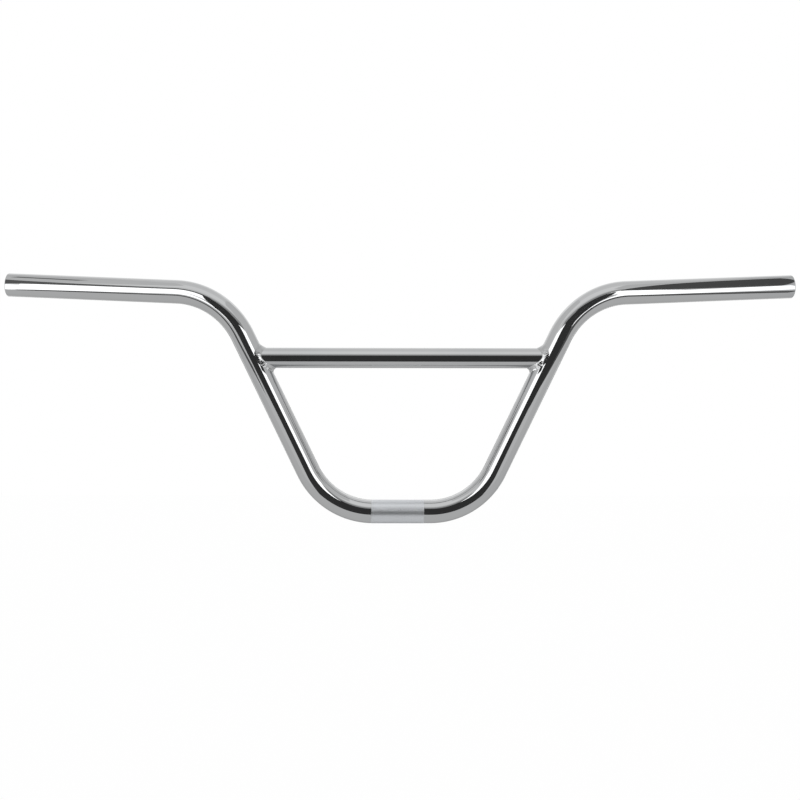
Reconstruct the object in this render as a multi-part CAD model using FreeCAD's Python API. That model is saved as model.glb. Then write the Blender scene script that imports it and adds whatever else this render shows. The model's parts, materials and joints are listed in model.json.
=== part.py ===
# High-rise bicycle handlebar: one bent steel tube, and a thinner crossbar coped to its risers and welded on.
# Millimetres and degrees. The origin is on the stem clamp's axis, midway between the two lower bends.
# +X runs along that axis to the rider's left, +Y points back to the rider and +Z up.

import FreeCAD
import Part

import math
import os

# Main tube: its section, and its line from the stem clamp out to an open end
TUBE_DIAMETER = 22.2
TUBE_WALL = 1.6
BAR_WIDTH = 754.0            # between the centres of the two open ends, so 758 over their rims
BAR_RISE = 215.0             # from the clamp's axis up to the centre of an open end
CLAMP_STRAIGHT = 53.5        # straight run between the two lower bends
LOWER_BEND_RADIUS = 68.0     # on the centre line, as the upper one is
UPPER_BEND_RADIUS = 74.0
RISER_ANGLE = 64.1           # of a riser above the level
BACKSWEEP = 11.0             # of a grip run, towards the rider
UPSWEEP = 2.8                # of a grip run above the level
END_CHAMFER = 0.8            # outer edge of an open end
BORE_CHAMFER = 0.4           # inner edge of an open end

# Knurled band under the stem clamp, a plain band at the height of the knurl's crests
KNURL_LENGTH = 49.5
KNURL_SHIFT = -3.7           # of the band's middle along X, as it was rolled off centre
KNURL_CREST = 0.1            # crests above the tube's surface

# Crossbar
CROSSBAR_DIAMETER = 19.05
CROSSBAR_WALL = 1.2
CROSSBAR_HEIGHT = 144.4      # its axis above the clamp's axis

# Weld bead round each end of the crossbar
WELD_LEG = 5.0               # from the joint's corner to the bead's edge along either tube, at top and bottom
WELD_SHIFT = 1.4             # on to the riser, where the bead crosses the flanks, and twice that off the crossbar
WELD_CROWN = 0.8             # how full the bead is there, as the height of its face's poles above the crossbar
WELD_SWELL = 0.4             # and above the riser
WELD_BITE = 0.12             # how far into the tubes a bead is drawn before it is trimmed to them
WELD_SECTIONS = 36           # cross-sections that a bead is lofted through

# Sizes worked out from those above
TUBE_RADIUS = TUBE_DIAMETER / 2
BORE_RADIUS = TUBE_RADIUS - TUBE_WALL
CROSSBAR_RADIUS = CROSSBAR_DIAMETER / 2
LEAN = math.radians(RISER_ANGLE)
LOWER_CORNER = CLAMP_STRAIGHT / 2 + LOWER_BEND_RADIUS * math.tan(LEAN / 2)

LEFT = 1
RIGHT = -1
SAME_POINT = 1e-6


def along_riser(side):
    """Unit vector up a riser."""
    return FreeCAD.Vector(side * math.cos(LEAN), 0, math.sin(LEAN))


def along_grip(side):
    """Unit vector out along a grip run, to its open end."""
    sweep = math.radians(BACKSWEEP)
    lift = math.radians(UPSWEEP)
    level = math.cos(lift)
    return FreeCAD.Vector(side * level * math.cos(sweep), level * math.sin(sweep), math.sin(lift))


def half_line(side):
    """Corners of the tube's centre line on one side: lower bend, upper bend and open end."""
    riser = along_riser(side)
    grip = along_grip(side)
    span = side * (BAR_WIDTH / 2 - LOWER_CORNER)
    # The riser and the grip run together make up the span and the rise
    both = riser.x * grip.z - grip.x * riser.z
    riser_length = (span * grip.z - grip.x * BAR_RISE) / both
    grip_length = (riser.x * BAR_RISE - span * riser.z) / both
    lower = FreeCAD.Vector(side * LOWER_CORNER, 0, 0)
    upper = lower + riser * riser_length
    return [lower, upper, upper + grip * grip_length]


def bent_rod(radius):
    """Solid round rod along the whole centre line, straight runs joined by tangent bends."""
    corners = half_line(RIGHT)[::-1] + half_line(LEFT)
    bends = [UPPER_BEND_RADIUS, LOWER_BEND_RADIUS, LOWER_BEND_RADIUS, UPPER_BEND_RADIUS]
    pieces = []
    start = corners[0]
    for corner, after, bend in zip(corners[1:], corners[2:], bends):
        way_in = (corner - start).normalize()
        way_out = (after - corner).normalize()
        turn = way_in.getAngle(way_out)
        setback = bend * math.tan(turn / 2)
        bend_start = corner - way_in * setback
        axis = way_in.cross(way_out).normalize()
        bend_centre = bend_start + axis.cross(way_in) * bend
        section = Part.Face(Part.Wire(Part.makeCircle(radius, bend_start, way_in)))
        pieces.append(Part.makeCylinder(radius, start.distanceToPoint(bend_start), start, way_in))
        pieces.append(section.revolve(bend_centre, axis, math.degrees(turn)))
        start = corner + way_out * setback
    pieces.append(Part.makeCylinder(radius, start.distanceToPoint(after), start, way_out))
    return pieces[0].multiFuse(pieces[1:]).removeSplitter()


def end_edges(shape, radius):
    """Circular edges of that radius round the two open ends."""
    ends = [half_line(side)[-1] for side in (LEFT, RIGHT)]
    found = []
    for edge in shape.Edges:
        if not isinstance(edge.Curve, Part.Circle):
            continue
        off_centre = min(edge.Curve.Center.distanceToPoint(end) for end in ends)
        if abs(edge.Curve.Radius - radius) < SAME_POINT and off_centre < SAME_POINT:
            found.append(edge)
    return found


def main_tube(rod):
    """The bent tube: the rod, with its knurled band and chamfered ends, bored through."""
    band_start = FreeCAD.Vector(KNURL_SHIFT - KNURL_LENGTH / 2, 0, 0)
    band = Part.makeCylinder(TUBE_RADIUS + KNURL_CREST, KNURL_LENGTH, band_start, FreeCAD.Vector(1, 0, 0))
    tube = rod.makeChamfer(END_CHAMFER, end_edges(rod, TUBE_RADIUS))
    tube = tube.fuse(band).cut(bent_rod(BORE_RADIUS))
    return tube.makeChamfer(BORE_CHAMFER, end_edges(tube, BORE_RADIUS))


def crossbar_joint(side):
    """Point where the crossbar's axis meets a riser's axis."""
    return FreeCAD.Vector(side * (LOWER_CORNER + CROSSBAR_HEIGHT / math.tan(LEAN)), 0, CROSSBAR_HEIGHT)


def crossbar_rod(radius):
    """Solid rod along the crossbar, from one riser's axis to the other."""
    start = crossbar_joint(RIGHT)
    length = start.distanceToPoint(crossbar_joint(LEFT))
    return Part.makeCylinder(radius, length, start, FreeCAD.Vector(1, 0, 0))


def crossbar(rod):
    """The crossbar's tube, with both ends coped to fit round the risers."""
    tube = crossbar_rod(CROSSBAR_RADIUS).cut(crossbar_rod(CROSSBAR_RADIUS - CROSSBAR_WALL))
    return tube.cut(rod)


def on_riser(side, around, along, radius):
    """Point at an angle round a riser from its inner side, and a distance up it from the crossbar's axis."""
    inward = FreeCAD.Vector(-side * math.sin(LEAN), 0, math.cos(LEAN))
    outward = inward * math.cos(around) + FreeCAD.Vector(0, math.sin(around), 0)
    return crossbar_joint(side) + along_riser(side) * along + outward * radius


def weld_section(side, turn):
    """Cross-section of a bead at a turn round the crossbar from its top: a hollow-ground triangle."""
    across = CROSSBAR_RADIUS * math.sin(turn)
    height = CROSSBAR_RADIUS * math.cos(turn)
    around = math.asin(across / TUBE_RADIUS)
    depth = TUBE_RADIUS * math.cos(around)
    corner_along = (height - depth * math.cos(LEAN)) / math.sin(LEAN)
    corner = on_riser(side, around, corner_along, TUBE_RADIUS)

    # On the riser laid flat, the bead's edge runs parallel to the joint's corner line
    step_around = TUBE_RADIUS * height / depth
    step_along = (across * height / depth * math.cos(LEAN) - across) / math.sin(LEAN)
    step = math.hypot(step_around, step_along)
    flank = math.sin(turn) ** 2
    shift = WELD_SHIFT * flank
    edge_around = around - (WELD_LEG + shift) * step_along / step / TUBE_RADIUS
    edge_along = corner_along + (WELD_LEG + shift) * step_around / step
    riser_edge = on_riser(side, edge_around, edge_along, TUBE_RADIUS)

    to_middle = FreeCAD.Vector(-side, 0, 0)
    bar_edge = corner + to_middle * (WELD_LEG - 2 * shift)
    rise = ((riser_edge - corner).normalize() + to_middle).normalize()
    riser_end = on_riser(side, edge_around, edge_along, TUBE_RADIUS - WELD_BITE)
    outward = FreeCAD.Vector(0, math.sin(turn), math.cos(turn))
    bar_end = bar_edge - outward * WELD_BITE
    root = corner - rise * WELD_LEG / 2
    over_bar = corner * 0.15 + bar_edge * 0.85 + outward * WELD_CROWN * flank
    swell = TUBE_RADIUS + WELD_SWELL * flank
    over_riser = on_riser(side, (around + edge_around) / 2, (corner_along + edge_along) / 2, swell)
    face = Part.BezierCurve()
    face.setPoles([bar_end, over_bar, over_riser, riser_end])
    return Part.Wire([face.toShape(), Part.makeLine(riser_end, root), Part.makeLine(root, bar_end)])


def weld_bead(side, rod):
    """The bead round one end of the crossbar, trimmed to the outsides of the two tubes."""
    turns = [2 * math.pi * count / WELD_SECTIONS for count in range(WELD_SECTIONS)]
    sections = [weld_section(side, turn) for turn in turns]
    ring = Part.makeLoft(sections, True, False, True)
    return ring.cut(rod).cut(crossbar_rod(CROSSBAR_RADIUS))


def build():
    """Every piece of the handlebar, by name."""
    rod = bent_rod(TUBE_RADIUS)
    return {
        "main_tube": main_tube(rod),
        "crossbar": crossbar(rod),
        "crossbar_welds": Part.makeCompound([weld_bead(side, rod) for side in (LEFT, RIGHT)]),
    }


os.makedirs("parts", exist_ok=True)
for name, shape in build().items():
    shape.exportStep(f"parts/{name}.step")
    volume = sum(solid.Volume for solid in shape.Solids)
    print(name, len(shape.Solids), "solids,", round(volume, 1), "mm3, valid:", shape.isValid())
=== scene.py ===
"""High-rise bicycle handlebar in chrome plate: a bent tube, a coped crossbar and the welds that join them.

Metres, in the part's own frame: the origin is on the stem clamp's axis, +X points to the rider's left,
+Y back to the rider and +Z up.
"""

import json
import logging
import math
from collections.abc import Mapping, Sequence
from dataclasses import dataclass
from enum import Enum

import bpy
from mathutils import Matrix, Vector

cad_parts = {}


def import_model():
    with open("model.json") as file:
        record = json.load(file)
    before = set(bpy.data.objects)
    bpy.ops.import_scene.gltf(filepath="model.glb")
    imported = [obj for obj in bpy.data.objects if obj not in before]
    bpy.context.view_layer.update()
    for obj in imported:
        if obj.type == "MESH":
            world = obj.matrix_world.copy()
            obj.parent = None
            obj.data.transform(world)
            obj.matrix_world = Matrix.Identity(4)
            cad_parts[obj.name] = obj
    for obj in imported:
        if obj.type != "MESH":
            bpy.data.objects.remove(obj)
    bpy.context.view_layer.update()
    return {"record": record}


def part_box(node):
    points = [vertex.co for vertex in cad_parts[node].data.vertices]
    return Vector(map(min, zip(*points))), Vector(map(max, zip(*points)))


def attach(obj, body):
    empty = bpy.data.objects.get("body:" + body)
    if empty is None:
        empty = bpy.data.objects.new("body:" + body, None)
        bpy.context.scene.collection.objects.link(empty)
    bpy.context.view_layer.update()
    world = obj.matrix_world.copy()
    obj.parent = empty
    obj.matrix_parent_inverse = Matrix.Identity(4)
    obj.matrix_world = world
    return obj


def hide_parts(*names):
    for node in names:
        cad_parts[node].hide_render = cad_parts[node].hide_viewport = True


log = logging.getLogger("handlebar")

MM = 0.001
FULL_TURN = 2 * math.pi
JOIN_WITHIN = 0.0005 * MM           # points of a mesh this close are one
ROUNDING = 1e-6                     # of a step, by which a whole count of them may be over

Colour = tuple[float, float, float]
Operand = "Value | float"

WHITE: Colour = (1.0, 1.0, 1.0)


class Side(Enum):
    """The rider's two sides, as the sign of X."""

    RIGHT = -1
    LEFT = 1


class Zone(Enum):
    """Stretches of the main tube's skin that take different finishes."""

    BORE = -1
    PLAIN = 0
    KNURL = 1


ZONE_EDGE = 0.5                     # halfway between two zones' numbers


class Value:
    """An output socket of a node, with arithmetic that adds the nodes it needs."""

    def __init__(self, graph: "Graph", socket: bpy.types.NodeSocket) -> None:
        """Keeps the socket and the graph that it is part of."""
        self.graph = graph
        self.socket = socket

    @property
    def is_vector(self) -> bool:
        """Whether the socket carries a vector and not a number."""
        return self.socket.type == "VECTOR"

    def __add__(self, other: Operand) -> "Value":
        """This plus the other."""
        return self.graph.maths("ADD", self, other)

    def __radd__(self, other: Operand) -> "Value":
        """The other plus this."""
        return self.graph.maths("ADD", other, self)

    def __sub__(self, other: Operand) -> "Value":
        """This less the other."""
        return self.graph.maths("SUBTRACT", self, other)

    def __rsub__(self, other: Operand) -> "Value":
        """The other less this."""
        return self.graph.maths("SUBTRACT", other, self)

    def __mul__(self, other: Operand) -> "Value":
        """This times the other."""
        return self.graph.maths("MULTIPLY", self, other)

    def __rmul__(self, other: Operand) -> "Value":
        """The other times this."""
        return self.graph.maths("MULTIPLY", other, self)

    def __truediv__(self, other: Operand) -> "Value":
        """This divided by the other."""
        return self.graph.maths("DIVIDE", self, other)

    def __mod__(self, other: Operand) -> "Value":
        """What is left of this after whole times the other."""
        return self.graph.maths("FLOORED_MODULO", self, other)

    def __abs__(self) -> "Value":
        """This without its sign."""
        return self.graph.maths("ABSOLUTE", self)

    def __gt__(self, other: Operand) -> "Value":
        """One where this is more than the other, else nought."""
        return self.graph.maths("GREATER_THAN", self, other)

    def __lt__(self, other: Operand) -> "Value":
        """One where this is less than the other, else nought."""
        return self.graph.maths("LESS_THAN", self, other)

    def at_most(self, other: Operand) -> "Value":
        """The lesser of this and the other."""
        return self.graph.maths("MINIMUM", self, other)

    def at_least(self, other: Operand) -> "Value":
        """The greater of this and the other."""
        return self.graph.maths("MAXIMUM", self, other)

    def spread(self, low: float, high: float) -> "Value":
        """Where this lies between two numbers, as a share from nought to one.

        Args:
            low: Number that becomes nought, as does anything beyond it.
            high: Number that becomes one, as does anything beyond it.

        Returns:
            The share.
        """
        return ((self - low) * (1 / (high - low))).at_least(0.0).at_most(1.0)


class Made:
    """A node that has just been added, to take outputs from."""

    def __init__(self, graph: "Graph", node: bpy.types.Node) -> None:
        """Keeps the node and the graph that it is part of."""
        self.graph = graph
        self.node = node

    def out(self, key: str | int = 0) -> Value:
        """The output with that place, identifier or name."""
        return Value(self.graph, find_socket(self.node.outputs, key))


def find_socket(sockets: Sequence[bpy.types.NodeSocket], key: str | int) -> bpy.types.NodeSocket:
    """Looks a socket up.

    Args:
        sockets: A node's inputs or outputs.
        key: The socket's place in the list, its identifier or its name.

    Returns:
        The socket.
    """
    if isinstance(key, int):
        return sockets[key]
    by_identifier = [socket for socket in sockets if socket.identifier == key]
    by_name = [socket for socket in sockets if socket.name == key]
    return (by_identifier + by_name)[0]


class Graph:
    """A node tree under construction: of a material, of the world or of a shape."""

    def __init__(self, tree: bpy.types.NodeTree) -> None:
        """Starts on a tree with no nodes in it."""
        self.tree = tree
        self.tree.nodes.clear()

    def add(self, kind: str, settings: Mapping[str, object] | None = None,
            sockets: Mapping[str | int, object] | None = None) -> Made:
        """Adds a node.

        Args:
            kind: The node's type.
            settings: The node's own properties, which are set first.
            sockets: What goes into its inputs, by place, identifier or name: a Value is linked, and
                anything else is set.

        Returns:
            The node.
        """
        node = self.tree.nodes.new(kind)
        for name, setting in (settings or {}).items():
            setattr(node, name, setting)
        for key, given in (sockets or {}).items():
            socket = find_socket(node.inputs, key)
            if isinstance(given, Value):
                self.tree.links.new(given.socket, socket)
            elif socket.type == "RGBA":
                socket.default_value = (*given, 1.0)
            else:
                socket.default_value = given
        return Made(self, node)

    def maths(self, operation: str, *operands: Operand) -> Value:
        """Adds one step of arithmetic.

        Args:
            operation: The operation's name in a Math or Vector Math node.
            operands: Values or numbers, in their order.

        Returns:
            The result, a vector if an operand is one.
        """
        vectors = [operand for operand in operands if isinstance(operand, Value) and operand.is_vector]
        inputs = dict(enumerate(operands))
        if not vectors:
            return self.add("ShaderNodeMath", {"operation": operation}, inputs).out()
        if operation == "MULTIPLY" and len(vectors) == 1:
            factor = next(operand for operand in operands if operand is not vectors[0])
            scaled = {"Vector": vectors[0], "Scale": factor}
            return self.add("ShaderNodeVectorMath", {"operation": "SCALE"}, scaled).out()
        return self.add("ShaderNodeVectorMath", {"operation": operation}, inputs).out()

    def parts(self, vector: Value) -> list[Value]:
        """The X, Y and Z of a vector."""
        split = self.add("ShaderNodeSeparateXYZ", sockets={0: vector})
        return [split.out(place) for place in range(3)]

    def vector(self, x: Operand, y: Operand, z: Operand) -> Value:
        """A vector of these three."""
        return self.add("ShaderNodeCombineXYZ", sockets={0: x, 1: y, 2: z}).out()

    def blend(self, share: Operand, first: object, second: object) -> Value:
        """Mixes two colours.

        Args:
            share: How much of the second there is, from nought to one.
            first: Colour, or a Value of one.
            second: Colour, or a Value of one.

        Returns:
            The mixed colour.
        """
        sockets = {"Factor_Float": share, "A_Color": first, "B_Color": second}
        return self.add("ShaderNodeMix", {"data_type": "RGBA"}, sockets).out("Result_Color")

    def noise(self, place: Value, scale: float, detail: float) -> Value:
        """Soft noise from nought to one, with that many waves to the metre."""
        sockets = {"Vector": place, "Scale": scale, "Detail": detail}
        return self.add("ShaderNodeTexNoise", sockets=sockets).out("Fac")


class Shape:
    """A shape's recipe in Geometry Nodes, run once on an object and kept as a plain mesh."""

    SOCKETS = {
        float: "NodeSocketFloat",
        int: "NodeSocketInt",
        bpy.types.Object: "NodeSocketObject",
        bpy.types.Material: "NodeSocketMaterial",
    }

    def __init__(self, name: str, sizes: Mapping[str, object]) -> None:
        """Makes the tree and its named inputs.

        Args:
            name: The tree's name.
            sizes: What each named input is set to: numbers, objects or materials.
        """
        self.sizes = dict(sizes)
        self.graph = Graph(bpy.data.node_groups.new(name, "GeometryNodeTree"))
        interface = self.graph.tree.interface
        interface.new_socket("Geometry", in_out="INPUT", socket_type="NodeSocketGeometry")
        interface.new_socket("Geometry", in_out="OUTPUT", socket_type="NodeSocketGeometry")
        self.identifiers = {}
        for label, given in self.sizes.items():
            socket = interface.new_socket(label, in_out="INPUT", socket_type=self.SOCKETS[type(given)])
            self.identifiers[label] = socket.identifier
        self.start = self.graph.add("NodeGroupInput")

    def given(self, label: str) -> Value:
        """One of the named inputs."""
        return self.start.out(label)

    def wrapped_grid(self, around: Value) -> tuple[Value, list[Value], Value]:
        """Starts a tube: a grid with a row for each point of the section, closed both ways later.

        Args:
            around: How many points there are round the tube.

        Returns:
            The grid, the X, Y and Z of a row's point of the section, and the angle round.
        """
        graph = self.graph
        section = self.start.out("Geometry")
        rows = graph.add("GeometryNodeAttributeDomainSize", sockets={"Geometry": section}).out("Point Count")
        per_row = around + 1
        sizes = {"Vertices X": rows + 1, "Vertices Y": per_row}
        grid = graph.add("GeometryNodeMeshGrid", sockets=sizes).out("Mesh")
        index = graph.add("GeometryNodeInputIndex").out()
        # Half a point more keeps a row's first point clear of the row before it
        row = graph.maths("FLOOR", (index + 0.5) / per_row)
        angle = (index - row * per_row) * FULL_TURN / around
        place = graph.add("GeometryNodeInputPosition").out()
        sampled = {"Geometry": section, "Value": place, "Index": row % rows}
        point = graph.add("GeometryNodeSampleIndex", {"data_type": "FLOAT_VECTOR"}, sampled).out()
        return grid, graph.parts(point), angle

    def keep(self, geometry: Value, name: str, value: Value) -> Value:
        """Stores a number at each point under a name."""
        sockets = {"Geometry": geometry, "Name": name, "Value": value}
        return self.graph.add("GeometryNodeStoreNamedAttribute", sockets=sockets).out()

    def kept(self, name: str) -> Value:
        """Reads a stored number."""
        return self.graph.add("GeometryNodeInputNamedAttribute", sockets={"Name": name}).out("Attribute")

    def close(self, grid: Value, place: Value) -> Value:
        """Puts a grid's points in their places, joins its edges and shades it smooth.

        Args:
            grid: The grid.
            place: Where each of its points goes.

        Returns:
            The closed skin.
        """
        graph = self.graph
        moved = graph.add("GeometryNodeSetPosition", sockets={"Geometry": grid, "Position": place}).out()
        join = {"Geometry": moved, "Distance": JOIN_WITHIN}
        joined = graph.add("GeometryNodeMergeByDistance", sockets=join).out()
        return graph.add("GeometryNodeSetShadeSmooth", sockets={"Geometry": joined}).out()

    def finish(self, geometry: Value, label: str) -> Value:
        """Realises the geometry and gives all of it one material.

        Args:
            geometry: The geometry.
            label: The input that holds the material.

        Returns:
            The dressed geometry.
        """
        graph = self.graph
        real = graph.add("GeometryNodeRealizeInstances", sockets={"Geometry": geometry}).out()
        dressed = {"Geometry": real, "Material": self.given(label)}
        return graph.add("GeometryNodeSetMaterial", sockets=dressed).out()

    def recoat(self, geometry: Value, where: Value, label: str) -> Value:
        """Gives the faces where a number is one the material of that input."""
        sockets = {"Geometry": geometry, "Selection": where, "Material": self.given(label)}
        return self.graph.add("GeometryNodeSetMaterial", sockets=sockets).out()

    def run(self, geometry: Value, name: str, section: Sequence[Vector]) -> bpy.types.Object:
        """Ends the tree and makes the piece.

        Args:
            geometry: The finished geometry.
            name: The piece's name.
            section: The points that the tree starts from.

        Returns:
            The piece, with a plain mesh and no modifier.
        """
        self.graph.add("NodeGroupOutput", sockets={0: geometry})
        points = bpy.data.meshes.new(name)
        points.from_pydata(section, [], [])
        piece = bpy.data.objects.new(name, points)
        bpy.context.collection.objects.link(piece)
        modifier = piece.modifiers.new(name, "NODES")
        modifier.node_group = self.graph.tree
        for label, identifier in self.identifiers.items():
            modifier[identifier] = self.sizes[label]
        depsgraph = bpy.context.evaluated_depsgraph_get()
        mesh = bpy.data.meshes.new_from_object(piece.evaluated_get(depsgraph))
        piece.modifiers.remove(modifier)
        piece.data = mesh
        mesh.name = name
        bpy.data.meshes.remove(points)
        bpy.data.node_groups.remove(self.graph.tree)
        return piece


def new_material(name: str) -> tuple[bpy.types.Material, Graph]:
    """Makes an empty material.

    Args:
        name: The material's name.

    Returns:
        The material, and its graph to build on.
    """
    material = bpy.data.materials.new(name)
    material.use_nodes = True
    return material, Graph(material.node_tree)


HAZE_BAND = (0.45, 0.75)            # values of the noise between which haze sets in
HAZE_DETAIL = 4.0
GRAIN_DETAIL = 3.0
GRAIN_SHARE = 1 / 3                 # of the gloss's roughness, added by the grain


@dataclass(frozen=True)
class Plate:
    """A plated or bare metal skin, with what makes it less than a perfect mirror."""

    name: str
    face: Colour                  # straight on
    shade: Colour                 # where the skin is thin and stained, and on the knurl painted shade in the grooves
    rim: float                    # reflection at a glancing angle, next to that of a plain metal
    gloss: float                  # roughness where it is clean
    haze: float                   # roughness added where it is hazed
    haze_scale: float             # patches of haze to the metre
    grain_scale: float            # grains to the metre
    grain_depth: float            # metres

    def material(self) -> bpy.types.Material:
        """Builds the skin: patches of haze, fine grain, a faint change of colour and, on the knurl, painted
        shade in the grooves.

        Returns:
            The material.
        """
        material, graph = new_material(self.name)
        place = graph.add("ShaderNodeTexCoord").out("Object")
        patches = graph.noise(place, self.haze_scale, HAZE_DETAIL).spread(*HAZE_BAND)
        grain = graph.noise(place, self.grain_scale, GRAIN_DETAIL)
        wear_and_groove_shade = self.wear_and_groove_shade(graph, patches)
        skin = {
            # On the knurl, this blend paints shade into the grooves.
            "Base Color": graph.blend(wear_and_groove_shade, self.face, self.shade),
            "Metallic": 1.0,
            "Roughness": self.gloss + wear_and_groove_shade * self.haze + grain * (self.gloss * GRAIN_SHARE),
            "Specular Tint": (self.rim, self.rim, self.rim),
            "Normal": self.relief(graph, grain),
        }
        surface = graph.add("ShaderNodeBsdfPrincipled", sockets=skin).out("BSDF")
        graph.add("ShaderNodeOutputMaterial", sockets={"Surface": surface})
        return material

    def wear_and_groove_shade(self, graph: Graph, patches: Value) -> Value:
        """How hazed or stained the skin is, from nought to one."""
        return patches

    def relief(self, graph: Graph, grain: Value) -> Value:
        """The skin's normal, with its grain."""
        sockets = {"Strength": 1.0, "Distance": self.grain_depth, "Height": grain}
        return graph.add("ShaderNodeBump", sockets=sockets).out("Normal")


@dataclass(frozen=True)
class KnurlPlate(Plate):
    """Chrome on the knurl: clean on the crests, rougher in the grooves, with painted shade darkening them.
    """

    height_name: str = "knurl"
    fully_dull_and_shaded_below: float = 0.1       # height up to which the skin is roughest and its painted shade darkest
    unshaded_above: float = 0.7     # height from which it has no painted shade and its plain gloss
    patchy: float = 0.3           # share of the roughness and painted shade that comes in patches

    def wear_and_groove_shade(self, graph: Graph, patches: Value) -> Value:
        """Roughness and painted shade in the grooves, from the height that the knurl stores at its points.
        """
        height = graph.add("ShaderNodeAttribute", {"attribute_name": self.height_name}).out("Fac")
        dull_and_shade = 1 - height.spread(self.fully_dull_and_shaded_below, self.unshaded_above)
        return dull_and_shade * (1 - self.patchy + self.patchy * patches)


BRIGHT_CHROME = Plate(
    name="bright_chrome", face=(0.55, 0.556, 0.56), shade=(0.5, 0.51, 0.52), rim=0.65,
    gloss=0.03, haze=0.03, haze_scale=9.0, grain_scale=2600.0, grain_depth=0.0002 * MM,
)
# Its shade colour is painted shade in the knurl's grooves.
KNURL_CHROME = KnurlPlate(
    name="knurled_chrome", face=(0.72, 0.74, 0.765), shade=(0.55, 0.565, 0.585), rim=0.82,
    gloss=0.24, haze=0.12, haze_scale=60.0, grain_scale=2600.0, grain_depth=0.002 * MM,
)
WELD_CHROME = Plate(
    name="weld_chrome", face=(0.53, 0.536, 0.54), shade=(0.4, 0.405, 0.41), rim=0.6,
    gloss=0.07, haze=0.12, haze_scale=420.0, grain_scale=1500.0, grain_depth=0.02 * MM,
)
BORE_STEEL = Plate(
    name="bore_steel", face=(0.34, 0.33, 0.32), shade=(0.19, 0.165, 0.14), rim=0.8,
    gloss=0.38, haze=0.3, haze_scale=70.0, grain_scale=900.0, grain_depth=0.02 * MM,
)


@dataclass(frozen=True)
class Knurl:
    """The diamond knurl that the stem grips."""

    length: float = 49.5 * MM
    shift: float = -3.7 * MM            # of its middle along X
    diamonds_round: int = 46
    diamonds_along: int = 33
    groove: float = 0.16 * MM           # below the tube's skin
    run_out: float = 0.7 * MM           # over which the grooves fade at either end
    steps: int = 4                      # points to a diamond


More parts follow.
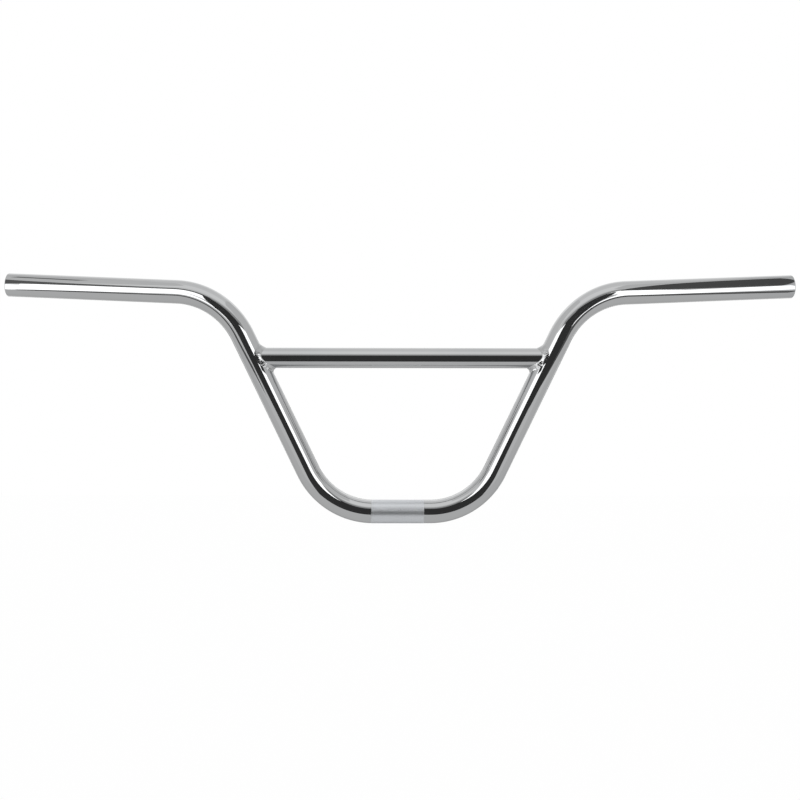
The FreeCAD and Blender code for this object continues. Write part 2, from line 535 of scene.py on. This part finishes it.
@dataclass(frozen=True)
class MainTube:
    """The bent tube, open at both ends."""

    record: Mapping[str, object]
    knurl: Knurl = Knurl()
    clamp_straight: float = 53.5 * MM
    lower_bend: float = 68 * MM
    upper_bend: float = 74 * MM
    riser_angle: float = math.radians(64.1)
    facet_depth: float = 0.035 * MM     # how far the solid's flat facets lie inside its true round
    outer_round: float = 0.8 * MM       # rim of an open end
    inner_round: float = 0.4 * MM
    bend_step: float = math.radians(1.6)
    bore_step: float = math.radians(4.8)
    run_step: float = 30 * MM
    clear: float = 1.5 * MM             # stations closer than this to a rim or to the knurl are left out
    bend_points: int = 96               # of the centre line, in each bend
    rim_steps: int = 5

    def mount(self, name: str) -> Mapping[str, object]:
        """One of the part's mounts."""
        return next(mount for mount in self.record["mounts"] if mount["name"] == name)

    @property
    def radius(self) -> float:
        """Of the outside."""
        return self.mount("grip_left")["dims"]["r_mm"] * MM - self.facet_depth

    @property
    def bore_radius(self) -> float:
        """Of the inside."""
        return self.mount("bar_end_left")["dims"]["r_mm"] * MM

    @property
    def crest_radius(self) -> float:
        """Of the knurl's crests."""
        return self.mount("stem_clamp")["dims"]["r_mm"] * MM - self.facet_depth

    @property
    def lower_corner(self) -> float:
        """How far from the middle the clamp's axis meets a riser's axis."""
        return self.clamp_straight / 2 + self.lower_bend * math.tan(self.riser_angle / 2)

    def riser(self, side: Side) -> Vector:
        """Unit vector up a riser."""
        return Vector((side.value * math.cos(self.riser_angle), 0, math.sin(self.riser_angle)))

    def half(self, side: Side) -> list[Vector]:
        """Corners of the centre line on one side.

        Args:
            side: The rider's side.

        Returns:
            The lower corner, the upper corner and the middle of the open end.
        """
        end = self.mount(f"bar_end_{side.name.lower()}")
        out = Vector(end["axis"])
        tip = Vector(end["pos_m"]) + out * (self.inner_round - self.facet_depth)
        lower = Vector((side.value * self.lower_corner, 0, 0))
        up = self.riser(side)
        span = tip - lower
        climb = (span.x * out.z - span.z * out.x) / (up.x * out.z - up.z * out.x)
        return [lower, lower + up * climb, tip]

    def corners(self) -> list[Vector]:
        """The whole centre line's corners, from the rider's right to the left."""
        return self.half(Side.RIGHT)[::-1] + self.half(Side.LEFT)

    def bends(self) -> list[float]:
        """Radius at each corner, with nought at the ends."""
        return [0.0, self.upper_bend, self.lower_bend, self.lower_bend, self.upper_bend, 0.0]

    def path(self) -> bpy.types.Object:
        """The corners as a curve, each with its bend radius as the point's radius.

        Returns:
            The curve's object.
        """
        curve = bpy.data.curves.new("bar_line", "CURVE")
        curve.dimensions = "3D"
        corners = self.corners()
        spline = curve.splines.new("POLY")
        spline.points.add(len(corners) - 1)
        for point, corner, bend in zip(spline.points, corners, self.bends()):
            point.co = (*corner, 1)
            point.radius = bend
        line = bpy.data.objects.new("bar_line", curve)
        bpy.context.collection.objects.link(line)
        return line

    def stations(self, bend_step: float) -> list[float]:
        """Distances along the centre line that follow its bends.

        Args:
            bend_step: Largest turn from one station to the next.

        Returns:
            The distances, from one open end to the other.
        """
        corners = self.corners()
        bends = self.bends()
        places = [0.0]
        setback_before = 0.0
        for count in range(1, len(corners)):
            way = corners[count] - corners[count - 1]
            setback = 0.0
            turn = 0.0
            if count + 1 < len(corners):
                turn = way.angle(corners[count + 1] - corners[count])
                setback = bends[count] * math.tan(turn / 2)
            run = way.length - setback_before - setback
            places += divided(places[-1], run, self.run_step)
            if turn:
                places += divided(places[-1], bends[count] * turn, bends[count] * bend_step)
            setback_before = setback
        return places

    def knurl_start(self) -> float:
        """Distance along the centre line at which the knurl starts."""
        return self.stations(self.bend_step)[-1] / 2 + self.knurl.shift - self.knurl.length / 2

    def section(self) -> list[Vector]:
        """Half section of the tube: out along its skin, over a rim, back along the bore and over the other.

        Returns:
            Points of the distance along the centre line, the radius and the zone.
        """
        skin = self.stations(self.bend_step)
        length = skin[-1]
        start = self.knurl_start()
        step = self.knurl.length / self.knurl.diamonds_along / self.knurl.steps
        band = [start] + divided(start, self.knurl.length, step)
        first = self.outer_round + self.clear
        inside = [s for s in skin if first < s < length - first]
        plain = [s for s in inside if s < band[0] - self.clear or s > band[-1] + self.clear]
        points = [Vector((s, self.radius, Zone.PLAIN.value)) for s in plain]
        points += [Vector((s, self.radius, Zone.KNURL.value)) for s in band]
        points.sort(key=lambda point: point.x)
        bore = [s for s in self.stations(self.bore_step) if self.clear < s < length - self.clear]
        points += self.rim(length, -1)
        points += [Vector((s, self.bore_radius, Zone.BORE.value)) for s in reversed(bore)]
        points += reversed(self.rim(0.0, 1))
        return points

    def rim(self, end: float, inward: int) -> list[Vector]:
        """Rounded edge of an open end, from the skin over the end face into the bore.

        Args:
            end: Distance of the end face along the centre line.
            inward: Sign of the way into the tube.

        Returns:
            Points as in the section.
        """
        turns = [math.pi / 2 * step / self.rim_steps for step in range(self.rim_steps + 1)]
        points = []
        for turn in turns:
            depth = self.outer_round * (1 - math.sin(turn))
            drop = self.outer_round * (1 - math.cos(turn))
            points.append(Vector((end + inward * depth, self.radius - drop, Zone.PLAIN.value)))
        for turn in turns:
            depth = self.inner_round * (1 - math.cos(turn))
            drop = self.inner_round * (1 - math.sin(turn))
            points.append(Vector((end + inward * depth, self.bore_radius + drop, Zone.PLAIN.value)))
        return points

    def knurl_height(self, graph: Graph, along: Value, angle: Value) -> tuple[Value, Value]:
        """Pyramids between two families of crossing grooves.

        Args:
            graph: The shape's graph.
            along: Distance along the centre line from the knurl's start.
            angle: Angle round the tube.

        Returns:
            Height from nought in a groove to one on a crest, and the share that is left near an end.
        """
        row = along * (self.knurl.diamonds_along / self.knurl.length)
        column = angle * (self.knurl.diamonds_round / FULL_TURN)
        first = abs((row + column) % 1.0 * 2 - 1)
        second = abs((row - column) % 1.0 * 2 - 1)
        from_end = along.at_most(self.knurl.length - along)
        return first.at_most(second), from_end.spread(0.0, self.knurl.run_out)

    def build(self) -> bpy.types.Object:
        """Wraps the section round the centre line and knurls it.

        Returns:
            The piece.
        """
        line = self.path()
        shape = Shape("bent_tube", {
            "Centre line": line,
            "Points round": self.knurl.diamonds_round * self.knurl.steps,
            "Points in a bend": self.bend_points,
            "Knurl start": self.knurl_start(),
            "Knurl crest": self.crest_radius - self.radius,
            "Knurl groove": self.knurl.groove,
            "Skin": BRIGHT_CHROME.material(),
            "Knurl skin": KNURL_CHROME.material(),
            "Bore skin": BORE_STEEL.material(),
        })
        graph = shape.graph
        line_in = {"Object": shape.given("Centre line")}
        corners = graph.add("GeometryNodeObjectInfo", sockets=line_in).out("Geometry")
        bend = graph.add("GeometryNodeInputRadius").out()
        rounding = {"Curve": corners, "Count": shape.given("Points in a bend"), "Radius": bend}
        rounded = graph.add("GeometryNodeFilletCurve", {"mode": "POLY"}, rounding).out()
        level = graph.add("GeometryNodeSetCurveNormal", {"mode": "Z_UP"}, {"Curve": rounded}).out()

        grid, (along, radius, zone), angle = shape.wrapped_grid(shape.given("Points round"))
        height, share = self.knurl_height(graph, along - shape.given("Knurl start"), angle)
        groove = shape.given("Knurl groove")
        relief = ((shape.given("Knurl crest") + groove) * height - groove) * share * (zone > ZONE_EDGE)
        grid = shape.keep(grid, "zone", zone)
        # The knurl's material paints shade into the grooves from this height.
        grid = shape.keep(grid, KNURL_CHROME.height_name, height * share)

        at = graph.add("GeometryNodeSampleCurve", {"mode": "LENGTH"}, {"Curves": level, "Length": along})
        across = at.out("Normal")
        upward = graph.maths("CROSS_PRODUCT", at.out("Tangent"), across)
        outward = across * graph.maths("COSINE", angle) + upward * graph.maths("SINE", angle)
        tube = shape.close(grid, at.out("Position") + outward * (radius + relief))
        tube = shape.finish(tube, "Skin")
        tube = shape.recoat(tube, shape.kept("zone") > ZONE_EDGE, "Knurl skin")
        tube = shape.recoat(tube, shape.kept("zone") < -ZONE_EDGE, "Bore skin")
        piece = shape.run(tube, "main_tube_chrome", self.section())
        bpy.data.objects.remove(line)
        return piece


def divided(start: float, length: float, step: float) -> list[float]:
    """Ends of equal steps along a length, none longer than the one given."""
    count = max(1, math.ceil(length / step - ROUNDING))
    return [start + length * (place + 1) / count for place in range(count)]


@dataclass(frozen=True)
class Crossbar:
    """The straight tube between the risers, with both ends coped to fit round them."""

    main: MainTube
    wall: float = 1.2 * MM
    points_round: int = 96
    steps: int = 24
    edge: float = 0.001                 # share of the half length that the edge of a cope takes up

    @property
    def radius(self) -> float:
        """Of the outside."""
        low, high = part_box("crossbar")
        return (high[2] - low[2]) / 2

    @property
    def height(self) -> float:
        """Of its axis above the clamp's axis."""
        low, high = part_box("crossbar")
        return (high[2] + low[2]) / 2

    @property
    def reach(self) -> float:
        """From the middle to where its axis meets a riser's axis."""
        return self.main.lower_corner + self.height / math.tan(self.main.riser_angle)

    def section(self) -> list[Vector]:
        """Half section: out along the skin and back along the bore.

        Returns:
            Points of the share of the way out from the middle, the radius and nought.
        """
        shares = [-1 + 2 * step / self.steps for step in range(self.steps + 1)]
        # A ring close to either end keeps the cope's edge from bending the shading further in
        shares[1:1] = [-1 + self.edge]
        shares[-1:-1] = [1 - self.edge]
        skin = [Vector((share, self.radius, 0)) for share in shares]
        bore = [Vector((share, self.radius - self.wall, 0)) for share in reversed(shares)]
        return skin + bore

    def build(self) -> bpy.types.Object:
        """Makes the tube, each of its lines ending on the skin of the risers.

        Returns:
            The piece.
        """
        lean = self.main.riser_angle
        shape = Shape("coped_tube", {
            "Points round": self.points_round,
            "Reach": self.reach,
            "Height": self.height,
            "Riser radius": self.main.radius,
            "Skin": bpy.data.materials[BRIGHT_CHROME.name],
        })
        graph = shape.graph
        grid, (share, radius, _), angle = shape.wrapped_grid(shape.given("Points round"))
        depth = radius * graph.maths("COSINE", angle)
        rise = radius * graph.maths("SINE", angle)
        riser = shape.given("Riser radius")
        to_skin = graph.maths("SQRT", riser * riser - depth * depth) * (1 / math.sin(lean))
        length = shape.given("Reach") + rise * (1 / math.tan(lean)) - to_skin
        place = graph.vector(share * length, depth, rise + shape.given("Height"))
        tube = shape.finish(shape.close(grid, place), "Skin")
        return shape.run(tube, "crossbar_chrome", self.section())


@dataclass(frozen=True)
class WeldBead:
    """The bead round one end of the crossbar, laid down in overlapping ripples."""

    bar: Crossbar
    side: Side
    leg: float = 5.0 * MM               # from the joint's corner to the bead's edge, at top and bottom
    shift: float = 1.4 * MM             # on to the riser across the flanks, and twice that off the crossbar
    crown: float = 0.8 * MM             # height of its face's poles above the crossbar, on the flanks
    swell: float = 0.4 * MM             # and above the riser
    fullest: float = 0.85               # share of the way along the crossbar at which it stands fullest
    bite: float = 0.12 * MM             # how far its edges sink into the tubes
    ripple: float = 1.5 * MM            # from one ripple to the next
    ripple_depth: float = 0.1 * MM
    ripple_bow: float = 0.55            # how far a ripple's edges trail its middle, in ripples
    sways: tuple[tuple[float, float, float], ...] = ((0.3, 0.7, 0.0), (0.2, 1.9, 1.0))
    stations: int = 320
    steps: int = 14

    def on_riser(self, around: float, along: float, radius: float) -> Vector:
        """Point on or near a riser.

        Args:
            around: Angle round it from its inner side.
            along: Distance up it from the crossbar's axis.
            radius: Distance from its axis.

        Returns:
            The point.
        """
        sign = self.side.value
        lean = self.bar.main.riser_angle
        inward = Vector((-sign * math.sin(lean), 0, math.cos(lean)))
        outward = inward * math.cos(around) + Vector((0, math.sin(around), 0))
        joint = Vector((sign * self.bar.reach, 0, self.bar.height))
        return joint + self.bar.main.riser(self.side) * along + outward * radius

    def corner(self, turn: float) -> tuple[float, float]:
        """Where the two skins meet, at a turn round the crossbar from its top.

        Args:
            turn: Angle round the crossbar.

        Returns:
            Angle round the riser, and distance up it.
        """
        lean = self.bar.main.riser_angle
        around = math.asin(self.bar.radius * math.sin(turn) / self.bar.main.radius)
        depth = self.bar.main.radius * math.cos(around)
        along = (self.bar.radius * math.cos(turn) - depth * math.cos(lean)) / math.sin(lean)
        return around, along

    def section(self, turn: float) -> tuple[Vector, list[Vector]]:
        """The bead's section at a turn.

        Args:
            turn: Angle round the crossbar from its top.

        Returns:
            The corner, and the face's four poles from the crossbar to the riser, the ends sunk by the bite.
        """
        tube = self.bar.main.radius
        around, along = self.corner(turn)
        nudge = 1e-4
        next_around, next_along = self.corner(turn + nudge)
        last_around, last_along = self.corner(turn - nudge)
        step = Vector(((next_around - last_around) * tube, next_along - last_along)).normalized()
        flank = math.sin(turn) ** 2
        shift = self.shift * flank
        edge_around = around - (self.leg + shift) * step.y / tube
        edge_along = along + (self.leg + shift) * step.x
        corner = self.on_riser(around, along, tube)
        bar_leg = Vector((-self.side.value * (self.leg - 2 * shift), 0, 0))
        outward = Vector((0, math.sin(turn), math.cos(turn)))
        return corner, [
            corner + bar_leg - outward * self.bite,
            corner + bar_leg * self.fullest + outward * self.crown * flank,
            self.on_riser((around + edge_around) / 2, (along + edge_along) / 2, tube + self.swell * flank),
            self.on_riser(edge_around, edge_along, tube - self.bite),
        ]

    def ripple_at(self, distance: float, across: float) -> float:
        """Depth of the ripples' hollows, unevenly laid: each sway has its size, pace and start.

        Args:
            distance: Along the bead.
            across: From -1 at one edge to 1 at the other.

        Returns:
            Depth below the bead's crown line.
        """
        count = distance / self.ripple
        sway = sum(size * math.sin(count * pace + start) for size, pace, start in self.sways)
        phase = count + sway - self.ripple_bow * across * across
        return self.ripple_depth * (1 - across * across) * (1 - abs(math.sin(math.pi * phase)))

    def rings(self) -> list[list[Vector]]:
        """The bead's sections, one after another round the joint.

        Returns:
            For each, points from the crossbar over the bead to the riser, and last the corner under it.
        """
        rings = []
        distance = 0.0
        last = None
        for station in range(self.stations):
            corner, poles = self.section(FULL_TURN * station / self.stations)
            rise = ((poles[0] - corner).normalized() + (poles[3] - corner).normalized()).normalized()
            distance += (corner - last).length if last is not None else 0.0
            last = corner
            ring = []
            for step in range(self.steps + 1):
                share = step / self.steps
                left = 1 - share
                weights = (left**3, 3 * left**2 * share, 3 * left * share**2, share**3)
                point = sum((pole * weight for pole, weight in zip(poles, weights)), Vector())
                ring.append(point - rise * self.ripple_at(distance, 2 * share - 1))
            rings.append([*ring, corner - rise * self.bite])
        return rings

    def build(self) -> bpy.types.Object:
        """Skins the sections, with a sharp line where the bead goes into the tubes.

        Returns:
            The piece.
        """
        rings = self.rings()
        per_ring = len(rings[0])
        faces = []
        for station in range(self.stations):
            after = (station + 1) % self.stations
            for step in range(per_ring):
                other = (step + 1) % per_ring
                corners = [station * per_ring + step, station * per_ring + other,
                           after * per_ring + other, after * per_ring + step]
                faces.append(corners if self.side is Side.LEFT else corners[::-1])
        name = f"weld_bead_{self.side.name.lower()}"
        mesh = bpy.data.meshes.new(name)
        mesh.from_pydata([point for ring in rings for point in ring], [], faces)
        mesh.polygons.foreach_set("use_smooth", [True] * len(faces))
        buried = per_ring - 1
        for edge in mesh.edges:
            steps = [vertex % per_ring for vertex in edge.vertices]
            edge.use_edge_sharp = steps[0] == steps[1] and steps[0] in (0, buried - 1, buried)
        mesh.materials.append(bpy.data.materials[WELD_CHROME.name])
        piece = bpy.data.objects.new(name, mesh)
        bpy.context.collection.objects.link(piece)
        return piece


@dataclass(frozen=True)
class Card:
    """A flat panel of the studio, turned to face the bar. It is seen in the chrome and not by the camera."""

    name: str
    azimuth: float                # degrees from the camera's side of the bar, to +X
    elevation: float              # degrees above the level
    distance: float               # metres from its aim, as all sizes are
    width: float
    height: float
    level: float                  # brightness, where one is white
    roll: float = 0.0             # degrees, clockwise from the bar
    aim: tuple[float, float, float] = (0.0, 0.0, 0.1)
    taper: float = 1.0            # its upper edge, as a share of its width


LEFT_GRIP = (0.28, 0.02, 0.21)
RIGHT_GRIP = (-0.28, 0.02, 0.21)


@dataclass(frozen=True)
class Studio:
    """White floor and ground, soft boxes, flags and the camera."""

    floor_height: float = -0.3
    floor_half: float = 6.0
    floor_paint: Colour = (0.9, 0.9, 0.9)
    floor_white: float = 0.95           # share of the floor's look that is plain white
    ambient: float = 1.0                # light from the ground on the floor
    cards: tuple[Card, ...] = (
        Card("ceiling", 0, 98, 1.8, 4.4, 1.3, 0.87),
        Card("front_wall", 0, 41.5, 2.2, 4.4, 0.43, 0.8),
        Card("side_wall_left", 86, 12, 1.1, 2.2, 3.2, 0.73),
        Card("side_wall_right", -90, 16, 1.1, 1.5, 3.3, 0.76),
        Card("back_light", 180, 25, 2.3, 2.3, 1.9, 1.4),
        Card("back_cloth", 180, -8, 2.2, 1.4, 1.0, 0.06),
        Card("back_band", 180, 0, 2.15, 4.4, 0.5, 0.06),
        Card("black_cloth", 2, -7, 2.1, 2.4, 3.2, 0.045, 8),
        Card("cloth_foot", 0, -12, 2.08, 3.7, 0.4, 0.045, 1),
        Card("cloth_hem", 6, 33, 2.08, 2.1, 0.42, 0.4),
        Card("cloth_on_floor", 0, -90, 0.36, 0.4, 2.1, 0.045, aim=(0, -1.15, 0.1), taper=5),
        Card("grey_floor_front", 0, -90, 0.38, 3.5, 2.6, 0.76, aim=(0, -1.25, 0.1)),
        Card("grey_floor_below", 0, -90, 0.32, 2.6, 1.0, 0.68, aim=(0, 0.1, 0.1)),
        Card("soft_box_left", 31, 14, 2.2, 1.3, 0.85, 2.2, -8),
        Card("soft_box_right", -28, 14, 2.2, 1.3, 0.85, 2.2, 4),
        Card("grip_box_left", 39, -10, 0.3, 0.24, 0.17, 2.2, -14, LEFT_GRIP),
        Card("grip_box_right", -40, -11, 0.24, 0.28, 0.15, 2.2, -10, RIGHT_GRIP),
        Card("low_flag_left", 36, -37, 0.2, 0.28, 0.05, 0.12, 0, LEFT_GRIP),
        Card("low_flag_right", -36, -36, 0.25, 0.24, 0.045, 0.12, 6, RIGHT_GRIP),
        Card("high_flag_left", -30, 46, 0.07, 0.31, 0.29, 0.1, -127, (0.38, 0, 0.236), 0.02),
        Card("high_flag_right", -38, 28, 0.07, 0.25, 0.018, 0.15, -9, (-0.255, 0, 0.211)),
        Card("tip_flag_right", -36, 84, 0.2, 0.1, 0.04, 0.2, 0, (-0.4, 0.03, 0.21)),
        Card("bend_flag_left", 6, 0, 0.094, 0.09, 0.09, 0.045, 0, (0.19, -0.007, 0.2)),
        Card("bend_flag_right", -6, 0, 0.094, 0.07, 0.09, 0.045, 15, (-0.176, -0.007, 0.2)),
        Card("riser_flag_left", 45, -17, 0.1, 0.09, 0.05, 0.045, -41, (0.12, -0.03, 0.154)),
        Card("weld_flag_left", -31, 7, 0.03, 0.014, 0.008, 0.04, 0, (0.129, -0.01, 0.14)),
        Card("weld_flag_right", 31, 7, 0.03, 0.014, 0.008, 0.04, 0, (-0.129, -0.01, 0.14)),
    )
    camera_place: Vector = Vector((-0.02627, -1.70779, 0.1049))
    camera_yaw: float = math.radians(0.83)
    camera_roll: float = math.radians(0.08)
    lens: float = 81.67                 # millimetres, on a sensor 36 mm wide

    def seen(self, graph: Graph) -> Value:
        """Tells rays from the camera or off metal or glass from those that light things.

        Args:
            graph: The graph of a material or of the world.

        Returns:
            One for the first kind, and nought for the second.
        """
        ray = graph.add("ShaderNodeLightPath")
        kinds = [ray.out(name) for name in ("Is Camera Ray", "Is Glossy Ray", "Is Transmission Ray")]
        return (kinds[0] + kinds[1] + kinds[2]).at_most(1.0)

    def ground(self) -> None:
        """Makes the white surroundings."""
        world = bpy.data.worlds.new("white_ground")
        world.use_nodes = True
        graph = Graph(world.node_tree)
        dim = {"Color": WHITE, "Strength": self.ambient}
        light = graph.add("ShaderNodeBackground", sockets=dim).out()
        white = graph.add("ShaderNodeBackground", sockets={"Color": WHITE, "Strength": 1.0}).out()
        mixed = graph.add("ShaderNodeMixShader", sockets={0: self.seen(graph), 1: light, 2: white}).out()
        graph.add("ShaderNodeOutputWorld", sockets={"Surface": mixed})
        bpy.context.scene.world = world

    def floor(self) -> bpy.types.Object:
        """Makes the pale floor, which keeps the bar's soft shadow.

        Returns:
            The floor.
        """
        material, graph = new_material("white_floor")
        paint = graph.add("ShaderNodeBsdfDiffuse", sockets={"Color": self.floor_paint}).out()
        white = graph.add("ShaderNodeEmission", sockets={"Color": WHITE, "Strength": 1.0}).out()
        share = self.seen(graph) * self.floor_white
        mixed = graph.add("ShaderNodeMixShader", sockets={0: share, 1: paint, 2: white}).out()
        graph.add("ShaderNodeOutputMaterial", sockets={"Surface": mixed})
        half = self.floor_half
        square = ((-half, -half), (half, -half), (half, half), (-half, half))
        corners = [Vector((x, y, self.floor_height)) for x, y in square]
        return self.panel("floor", corners, material)

    def card(self, card: Card) -> bpy.types.Object:
        """Hangs a card.

        Args:
            card: Its place, size and brightness.

        Returns:
            The card's object.
        """
        material, graph = new_material(card.name)
        shade = graph.add("ShaderNodeEmission", sockets={"Color": WHITE, "Strength": card.level}).out()
        graph.add("ShaderNodeOutputMaterial", sockets={"Surface": shade})
        swing = Matrix.Rotation(math.radians(card.azimuth), 3, "Z")
        turn = swing @ Matrix.Rotation(math.radians(-card.elevation), 3, "X")
        roll = Matrix.Rotation(math.radians(card.roll), 3, "Y")
        corners = []
        for x, z in ((-1, -1), (1, -1), (1, 1), (-1, 1)):
            share = card.taper if z > 0 else 1.0
            flat = roll @ Vector((x * share * card.width / 2, 0, z * card.height / 2))
            corners.append(Vector(card.aim) + turn @ (flat + Vector((0, -card.distance, 0))))
        panel = self.panel(card.name, corners, material)
        panel.visible_camera = False
        panel.visible_diffuse = False
        panel.visible_shadow = False
        return panel

    @staticmethod
    def panel(name: str, corners: Sequence[Vector], material: bpy.types.Material) -> bpy.types.Object:
        """Makes a flat panel of the stage.

        Args:
            name: The panel's name.
            corners: Its corners, in their order round it.
            material: What it is covered with.

        Returns:
            The panel.
        """
        mesh = bpy.data.meshes.new(name)
        mesh.from_pydata(corners, [], [list(range(len(corners)))])
        mesh.materials.append(material)
        panel = bpy.data.objects.new(name, mesh)
        bpy.context.collection.objects.link(panel)
        return panel

    def camera(self) -> None:
        """Sets the camera up in front of the bar, a little above the clamp."""
        camera = bpy.data.cameras.new("camera")
        camera.lens = self.lens
        holder = bpy.data.objects.new("camera", camera)
        turn = Matrix.Rotation(-self.camera_yaw, 4, "Z") @ Matrix.Rotation(math.pi / 2, 4, "X")
        roll = Matrix.Rotation(self.camera_roll, 4, "Z")
        holder.matrix_world = Matrix.Translation(self.camera_place) @ turn @ roll
        bpy.context.collection.objects.link(holder)
        bpy.context.scene.camera = holder

    def build(self) -> None:
        """Sets up the whole studio."""
        bpy.context.scene.view_settings.view_transform = "Standard"
        self.ground()
        self.floor()
        for card in self.cards:
            self.card(card)
        self.camera()


def hand_over(piece: bpy.types.Object, node: str) -> None:
    """Ties a finished piece to the part.

    Args:
        piece: The piece.
        node: The solid that it stands for.
    """
    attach(piece, "root")
    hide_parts(node)
    log.info("%s: %d faces", piece.name, len(piece.data.polygons))


def main() -> None:
    """Builds the handlebar and its studio."""
    logging.basicConfig(level=logging.INFO, format="%(name)s: %(message)s")
    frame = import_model()
    tube = MainTube(frame["record"])
    bar = Crossbar(tube)
    hand_over(tube.build(), "main_tube")
    hand_over(bar.build(), "crossbar")
    WELD_CHROME.material()
    for side in Side:
        hand_over(WeldBead(bar, side).build(), "crossbar_welds")
    Studio().build()
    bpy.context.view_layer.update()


if __name__ == "__main__":
    main()
